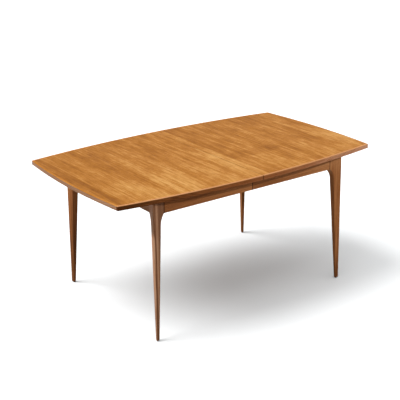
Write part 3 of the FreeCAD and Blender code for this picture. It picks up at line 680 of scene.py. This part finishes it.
# %% [markdown]
# ## Legs
# The legs are walnut with the grain upright, and paler at the top than at the foot; the right front one
# has painted light at its knee. The near left one has stripes of painted light and shade along its ridge:
# above the knee, in the top's shadow, the ridge is in painted shade; below it the ridge is lit, with a
# painted shaded line beside it. Further in lie a painted highlight on the rounded arris and painted shade
# towards the inner edge. A painted picture could give them; stops across the ridge keep them a formula
# that can be read and changed.

# %% Painted light and shade on the near left leg
# On the ridge x less y has this value; stripes lie at offsets from it, in metres, each with its tone
RIDGE_PLACE = -0.1765
# Below the knee, out of the top's shadow: painted light on the ridge, then shade, highlight and shade
LIT_RIDGE_STRIPES = ((-0.010, 0.52), (-0.004, 0.95), (0.001, 0.95), (0.0035, 0.04), (0.008, 0.06),
                 (0.012, 0.70), (0.0155, 0.78), (0.019, 0.38), (0.023, 0.14), (0.030, 0.12))
# Above the knee, in the top's painted shadow: a shaded ridge, a painted highlight and a shaded inner edge
SHADED_RIDGE_STRIPES = ((-0.008, 0.50), (-0.003, 0.24), (0.008, 0.14), (0.0125, 0.64), (0.016, 0.62),
                 (0.021, 0.15), (0.045, 0.06))
# Heights over which the stripes change from lit, below, to the top's painted shadow, above
TOP_SHADOW_LINE = (0.52, 0.56)
FOOT_HEIGHT = 0.4
FOOT_SHARE = 0.55


def across_ramp(beside, stripes):
    """A tone that depends on the offset from the ridge, as stops in metres."""
    low, high = stripes[0][0], stripes[-1][0]
    stops = [((spot - low) / (high - low), grey(tone)) for spot, tone in stripes]
    return ((beside - low) / (high - low)).ramp(stops)


def ridge_light_and_shade(place):
    """Painted light and shade in stripes down the leg, placed by x less y. Below the knee, out of the
    top's shadow, the ridge is lit with a painted shaded line beside it, then a painted highlight on the
    rounded arris and painted shade towards the inner edge; above the knee, in the top's painted shadow,
    the ridge is dark. The foot is darker than the rest."""
    height = coordinate(place, "z")
    beside = coordinate(place, "x") - coordinate(place, "y") - RIDGE_PLACE
    below = across_ramp(beside, LIT_RIDGE_STRIPES)
    above = across_ramp(beside, SHADED_RIDGE_STRIPES)
    foot = 1 - height.smooth(0.0, FOOT_HEIGHT)
    return height.smooth(*TOP_SHADOW_LINE).mix(below, above) - foot * FOOT_SHARE


print(len(LIT_RIDGE_STRIPES), "stops below the knee and", len(SHADED_RIDGE_STRIPES), "above it")

# %% Legs
LEG_HEART = (0.3, 0.0)
PALE_SLOPE = (0.53, 0.5)
# Heights and share of the painted light that brightens the right front leg at its knee
KNEE_LIGHT_HEIGHTS, KNEE_LIGHT_SHARE = (0.60, 0.70), 0.25
TOE_HEIGHTS, TOE_SHARE = (0.02, 0.20), 0.20
FAR_LEFT_SLOPE = (0.55, 1.15)
FAR_RIGHT_SLOPE = (0.6, 0.75)


def lit_knee_tone(place):
    """Dark at the foot, paling slowly upwards, with painted light that pales it quickly at the knee."""
    height = coordinate(place, "z")
    knee = height.smooth(*KNEE_LIGHT_HEIGHTS) * KNEE_LIGHT_SHARE
    toe = (1 - height.smooth(*TOE_HEIGHTS)) * TOE_SHARE
    return slope("z", *PALE_SLOPE)(place) + knee - toe


LEGS = {
    "left_front_leg": (DUSKY, ridge_light_and_shade),
    "left_back_leg": (WALNUT, slope("z", *FAR_LEFT_SLOPE)),
    "right_front_leg": (WALNUT, lit_knee_tone),
    "right_back_leg": (WALNUT, slope("z", *FAR_RIGHT_SLOPE)),
}
for name, (stops, tone) in LEGS.items():
    dress(wood(f"{name}_walnut", "z", stops, LEG_HEART, shares=FIGURED_SHARES, tone=tone), name)
print(len(LEGS), "legs finished")

# %% [markdown]
# ## Woods under the top
# Corner blocks, cleats and packers are sawn pine with wide rings. The slides are planed beech, fine and
# even. Their stop pegs and the dowels are turned beech, a little darker from handling. Each could have a
# recipe of its own, but they differ only in numbers, so the one recipe makes them all. None of them is
# polished like the outside, so their sheen is duller.

# %% Hidden woods
PINE = (
    (0.0, tinted(0.36, 0.20, 0.085)),
    (0.5, tinted(0.56, 0.38, 0.19)),
    (1.0, tinted(0.68, 0.50, 0.28)),
)
BEECH = (
    (0.0, tinted(0.36, 0.21, 0.11)),
    (0.5, tinted(0.51, 0.34, 0.19)),
    (1.0, tinted(0.62, 0.45, 0.28)),
)
DOWEL = (
    (0.0, tinted(0.33, 0.18, 0.085)),
    (0.5, tinted(0.50, 0.31, 0.16)),
    (1.0, tinted(0.60, 0.41, 0.24)),
)
SAWN, PLANED = (0.62, 0.2), (0.5, 0.15)
PINE_GRAIN = {"spacing": 0.006, "wander": 0.03, "shares": (0.4, 0.4, 0.4, 0.6), "pore_share": 0.1,
              "sheen": SAWN}
LONG_PINE_HEART, CROSS_PINE_HEART = (0.1, 0.6), (0.45, 0.6)
BEECH_HEART = (0.2, 0.2)
RAIL_GRAIN = {"spacing": 0.003, "shares": (0.5, 0.3, 0.2, 0.15), "pore_share": 0.3, "sheen": PLANED}
DOWEL_GRAIN = {"spacing": 0.002, "pore_share": 0.3, "sheen": PLANED}

pine = wood("sawn_pine", "x", PINE, LONG_PINE_HEART, **PINE_GRAIN)
cross_pine = wood("sawn_pine_across", "y", PINE, CROSS_PINE_HEART, **PINE_GRAIN)
beech = wood("planed_beech", "x", BEECH, BEECH_HEART, **RAIL_GRAIN)
turned_beech = wood("turned_beech", "x", DOWEL, BEECH_HEART, **DOWEL_GRAIN)
upright_beech = wood("peg_beech", "z", DOWEL, BEECH_HEART, **DOWEL_GRAIN)
dress(turned_beech, "seam_dowels")
for half in HALVES:
    dress(pine, f"{half}_corner_blocks", f"{half}_top_cleats")
    dress(cross_pine, f"{half}_rail_packers")
    dress(upright_beech, f"{half}_stop_pegs")
    dress(beech, *(f"{where}_{half}_rail" for where in PLACES))
dress(beech, *(f"{where}_mid_rail" for where in PLACES))
print("slides, blocks and dowels finished")

# %% [markdown]
# ## Metal
# The gears, bolts and locks are zinc plated steel: a cloudy grey with fine scratches from the rolling
# mill and duller patches. The cleat screws are brass that has gone a little brown. One even grey would
# look like plastic, so noise mixes two colours of each metal, and drawn out noise scratches it.

# %% Metal
PATCH_SCALE = 90.0
PATCH_EDGES = (0.42, 0.7)
SCRATCH_RATES = (2600.0, 60.0)
SCRATCH_DEPTH = 0.00003
SCRATCH_DULLING = 0.15


def cloudy(place, scale, detail):
    """Noise that is alike in all directions; the scale is its changes per metre."""
    return place.node("ShaderNodeTexNoise", None, {"Vector": place, "Scale": scale, "Detail": detail})


def metal(name, along, dull_colour, bright_colour, roughness, dulling):
    """Bare or plated metal. Cloudy noise mixes its two colours and dulls patches of it; noise drawn out
    along an axis scratches it."""
    finish, start = new_finish(name)
    place = placed(start)
    patches = cloudy(place, PATCH_SCALE, detail=4.0).smooth(*PATCH_EDGES)
    scratch = streaks(place, along, *SCRATCH_RATES, detail=1.0)
    close_finish(start, start.node("ShaderNodeBsdfPrincipled", None, {
        "Base Color": patches.mix(bright_colour, dull_colour),
        "Metallic": 1.0,
        "Roughness": scratch * SCRATCH_DULLING + patches * dulling + roughness,
        "Normal": bumped(start, BUMP_STRENGTH, SCRATCH_DEPTH, scratch),
    }))
    return finish


# Axis of the scratches, dull colour, bright colour, roughness where bright and what dull patches add to it
METALS = {
    "gear_steel": ("x", tinted(0.34, 0.34, 0.35), tinted(0.55, 0.55, 0.57), 0.26, 0.2),
    "bolt_steel": ("z", tinted(0.38, 0.38, 0.37), tinted(0.62, 0.61, 0.60), 0.24, 0.22),
    "lock_steel": ("y", tinted(0.32, 0.32, 0.34), tinted(0.52, 0.52, 0.54), 0.28, 0.2),
    "screw_brass": ("z", tinted(0.34, 0.20, 0.07), tinted(0.66, 0.46, 0.17), 0.25, 0.3),
}
gear_steel, bolt_steel, lock_steel, brass = (metal(name, *recipe) for name, recipe in METALS.items())
print(len(METALS), "metals mixed")

# %% Metal pieces
BOLT_STEEL_PIECES = ("leg_bolts", "leg_nuts", "rail_screws", "rack_screws")
for half in HALVES:
    dress(gear_steel, *(f"{where}_{half}_rack" for where in PLACES))
    dress(bolt_steel, *(f"{half}_{piece}" for piece in BOLT_STEEL_PIECES))
    dress(brass, f"{half}_cleat_screws")
for where in PLACES:
    dress(gear_steel, f"{where}_pinion")
    dress(lock_steel, f"{where}_lock_lever")
dress(lock_steel, "lock_plates", "lock_pivots", "lock_keepers")
dress(bolt_steel, "pinion_studs", "lock_plate_screws", "keeper_screws")
print("gears, bolts, locks and screws finished")

# %% [markdown]
# ## Nylon
# The glides under the feet are dark moulded nylon, scuffed by the floor. The scuffs are pale patches of
# noise. The fine grain of the mould could be modelled, but it is far too small to see as a shape, so it
# is a bump.

# %% Nylon
NYLON_DARK, NYLON_SCUFFED = tinted(0.028, 0.023, 0.019), tinted(0.075, 0.066, 0.058)
SCUFF_SCALE, SCUFF_EDGES, SCUFF_DULLING = 260.0, (0.55, 0.75), 0.25
MOULD_SCALE, MOULD_DULLING = 1400.0, 0.1
MOULD_STRENGTH, MOULD_DEPTH = 0.4, 0.00005
NYLON_ROUGHNESS = 0.4


def nylon(name):
    """Dark nylon with a fine moulded texture and paler scuffs."""
    finish, start = new_finish(name)
    place = placed(start)
    mould = cloudy(place, MOULD_SCALE, detail=2.0)
    scuff = cloudy(place, SCUFF_SCALE, detail=4.0).smooth(*SCUFF_EDGES)
    close_finish(start, start.node("ShaderNodeBsdfPrincipled", None, {
        "Base Color": scuff.mix(NYLON_DARK, NYLON_SCUFFED),
        "Roughness": scuff * SCUFF_DULLING + mould * MOULD_DULLING + NYLON_ROUGHNESS,
        "Normal": bumped(start, MOULD_STRENGTH, MOULD_DEPTH, mould),
    }))
    return finish


dark_nylon = nylon("glide_nylon")
dress(dark_nylon, *(f"{half}_foot_glides" for half in HALVES))
print("glides finished in", dark_nylon.name)

# %% [markdown]
# ## Slotted screws
# The wood screws under the top have slotted heads and cut threads; the bench model has only their plain
# shanks and heads. Cutting slots with booleans would leave ragged faces, so each head is one sheet: a
# closed loop, face and seat, carried across the slot, with two rows dropped for the slot's floor. The
# shank is a second sheet whose radius follows a helix. Both are worked out as whole arrays of points,
# and take their place and size from the plain screws that they stand for.

# %% Screw heads
HEAD_ROWS, HEAD_STEPS = 8, 9
SLOT_WIDTH_SHARE, SLOT_DEPTH_SHARE = 0.16, 0.65
CROWN_SHARES = {"pan": 0.5, "flush": 0.0}


def slotted_head(radius, height, crown):
    """Rows lie at distances x across the slot and run along it by the chord, the square root of radius
    squared less x squared. The face stands at the crown's share of the height times the squared distance
    from the middle over the radius squared, or at the slot's depth in the slot's two rows; the seat is
    flat."""
    turns = np.linspace(-np.pi / 2, -np.arcsin(SLOT_WIDTH_SHARE), HEAD_ROWS)
    outside = radius * np.sin(turns)
    across = np.concatenate([outside, outside[-1:], -outside[-1:], -outside[::-1]])
    in_slot = np.zeros(len(across), bool)
    in_slot[HEAD_ROWS:HEAD_ROWS + 2] = True
    chord = np.sqrt(np.maximum(radius**2 - across**2, 0))
    along = chord[:, None] * np.linspace(-1, 1, HEAD_STEPS)
    away = across[:, None] ** 2 + along**2
    face = np.where(in_slot[:, None], SLOT_DEPTH_SHARE * height, crown * height * away / radius**2)
    seat = np.full_like(face, height)
    sides = np.repeat(across[:, None], 2 * HEAD_STEPS, axis=1)
    return np.stack([sides, np.hstack([along, along[:, ::-1]]), np.hstack([face, seat])], axis=2)


print("a screw's head has", 2 * HEAD_ROWS + 2, "rows of", 2 * HEAD_STEPS, "points")

# %% Screw shanks
SHANK_SIDES, RINGS_PER_TURN = 12, 6
PITCH_SHARE, THREAD_SHARE, POINT_SHARE = 0.8, 0.28, 2.5


def threaded_shank(radius, start, tip):
    """Rings up the screw. The radius is largest where the height in pitches less the angle in turns is
    whole and smallest halfway between. It is nothing at the start, inside the head, and shrinks to
    nothing towards the point."""
    pitch = PITCH_SHARE * radius
    rounds = int((tip - start) / pitch * RINGS_PER_TURN)
    heights = np.linspace(start, tip, rounds)
    angles = np.linspace(0, 2 * np.pi, SHANK_SIDES, endpoint=False)
    phase = np.mod(heights[:, None] / pitch - angles / (2 * np.pi), 1)
    valley = 1 - np.abs(2 * phase - 1)
    taper = np.clip((tip - heights) / (POINT_SHARE * radius), 0, 1)
    taper[0] = 0
    reach = radius * taper[:, None] * (1 - THREAD_SHARE * valley)
    levels = np.repeat(heights[:, None], SHANK_SIDES, axis=1)
    return np.stack([reach * np.cos(angles), reach * np.sin(angles), levels], axis=2)


print("a screw's thread has", RINGS_PER_TURN, "rings of", SHANK_SIDES, "points a turn")

# %% From grids to meshes
MERGE_DISTANCE = 1e-6
SHARP_EDGE = math.radians(40)


def loop_faces(rows, columns, first):
    """Four-cornered faces of a grid whose columns close into a loop, counted from a first point."""
    row, column = np.meshgrid(np.arange(rows - 1), np.arange(columns), indexing="ij")
    here = row * columns + column
    beside = row * columns + (column + 1) % columns
    corners = np.stack([here, beside, beside + columns, here + columns], axis=-1)
    return corners.reshape(-1, 4) + first


def closed(mesh):
    """Merge the points that meet at poles and seams, and turn all faces outwards."""
    shape = bmesh.new()
    shape.from_mesh(mesh)
    bmesh.ops.remove_doubles(shape, verts=shape.verts, dist=MERGE_DISTANCE)
    bmesh.ops.recalc_face_normals(shape, faces=shape.faces)
    shape.to_mesh(mesh)
    shape.free()
    mesh.shade_smooth()
    mesh.set_sharp_from_angle(angle=SHARP_EDGE)


def sheets_mesh(name, sheets):
    """One mesh of several looped grids of points."""
    starts = np.cumsum([0] + [sheet.shape[0] * sheet.shape[1] for sheet in sheets])
    faces = np.concatenate([loop_faces(*sheet.shape[:2], first) for sheet, first in zip(sheets, starts)])
    points = np.concatenate([sheet.reshape(-1, 3) for sheet in sheets])
    mesh = bpy.data.meshes.new(name)
    mesh.from_pydata(points.tolist(), [], faces.tolist())
    closed(mesh)
    return mesh


print("points nearer than", MERGE_DISTANCE, "metres are merged")

# %% Screws at the plain ones' places
SCREW_REACH = 0.0095
PLACE_DIGITS = 5
DRIVEN_TURN = math.radians(137.5)


def screw_places(points):
    """Each screw's middle from above: the mean of the points within a screw's width of its first."""
    spots = np.unique(np.round(points[:, :2], PLACE_DIGITS), axis=0)
    near = np.linalg.norm(spots[:, None] - spots, axis=2) < SCREW_REACH
    middles = near @ spots / near.sum(axis=1, keepdims=True)
    return middles[np.unique(near.argmax(axis=1))]


def spin(angle):
    """The matrix that turns rows of points round the upright axis."""
    return np.array([[np.cos(angle), np.sin(angle), 0], [-np.sin(angle), np.cos(angle), 0], [0, 0, 1]])


def slotted_screws(name, crown):
    """One mesh with a slotted screw for each plain one of a node, and how many there are. Every next
    head is turned further, as screws stop where they are driven home."""
    plain = nodes[name].data
    points = np.empty(3 * len(plain.vertices))
    plain.vertices.foreach_get("co", points)
    points = points.reshape(-1, 3)
    places = screw_places(points)
    sheets = []
    for count, middle in enumerate(places):
        away = np.linalg.norm(points[:, :2] - middle, axis=1)
        own, away = points[away < SCREW_REACH], away[away < SCREW_REACH]
        low, tip = own[:, 2].min(), own[:, 2].max()
        radius, shank = away.max(), away[own[:, 2] == tip].max()
        seat = own[away > (radius + shank) / 2, 2].max()
        place = np.array([*middle, low])
        sheets.append(slotted_head(radius, seat - low, crown) @ spin(count * DRIVEN_TURN) + place)
        sheets.append(threaded_shank(shank, (seat - low) * SLOT_DEPTH_SHARE, tip - low) + place)
    return sheets_mesh(f"{name}_slotted", sheets), len(places)


print("screws are found by points within", SCREW_REACH, "metres")

# %% Slotted screws in place of the plain ones
SCREW_HEADS = {"lock_plate_screws": "flush", "keeper_screws": "flush"}
for piece, head in (("cleat", "pan"), ("rail", "pan"), ("rack", "flush")):
    for half in HALVES:
        SCREW_HEADS[f"{half}_{piece}_screws"] = head
record = frame["record"]
body_of_node = {name: body for body, names in record["behaviour"]["bodies"].items() for name in names}
for name, head in SCREW_HEADS.items():
    mesh, count = slotted_screws(name, CROWN_SHARES[head])
    mesh.materials.append(nodes[name].data.materials[0])
    piece = bpy.data.objects.new(mesh.name, mesh)
    for holder in (bpy.context.scene.collection, table_only, edges_only):
        holder.objects.link(piece)
    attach(piece, body_of_node[name])
    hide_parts(name)
    print(name, count, "slotted screws", len(mesh.polygons), "faces")

# %% [markdown]
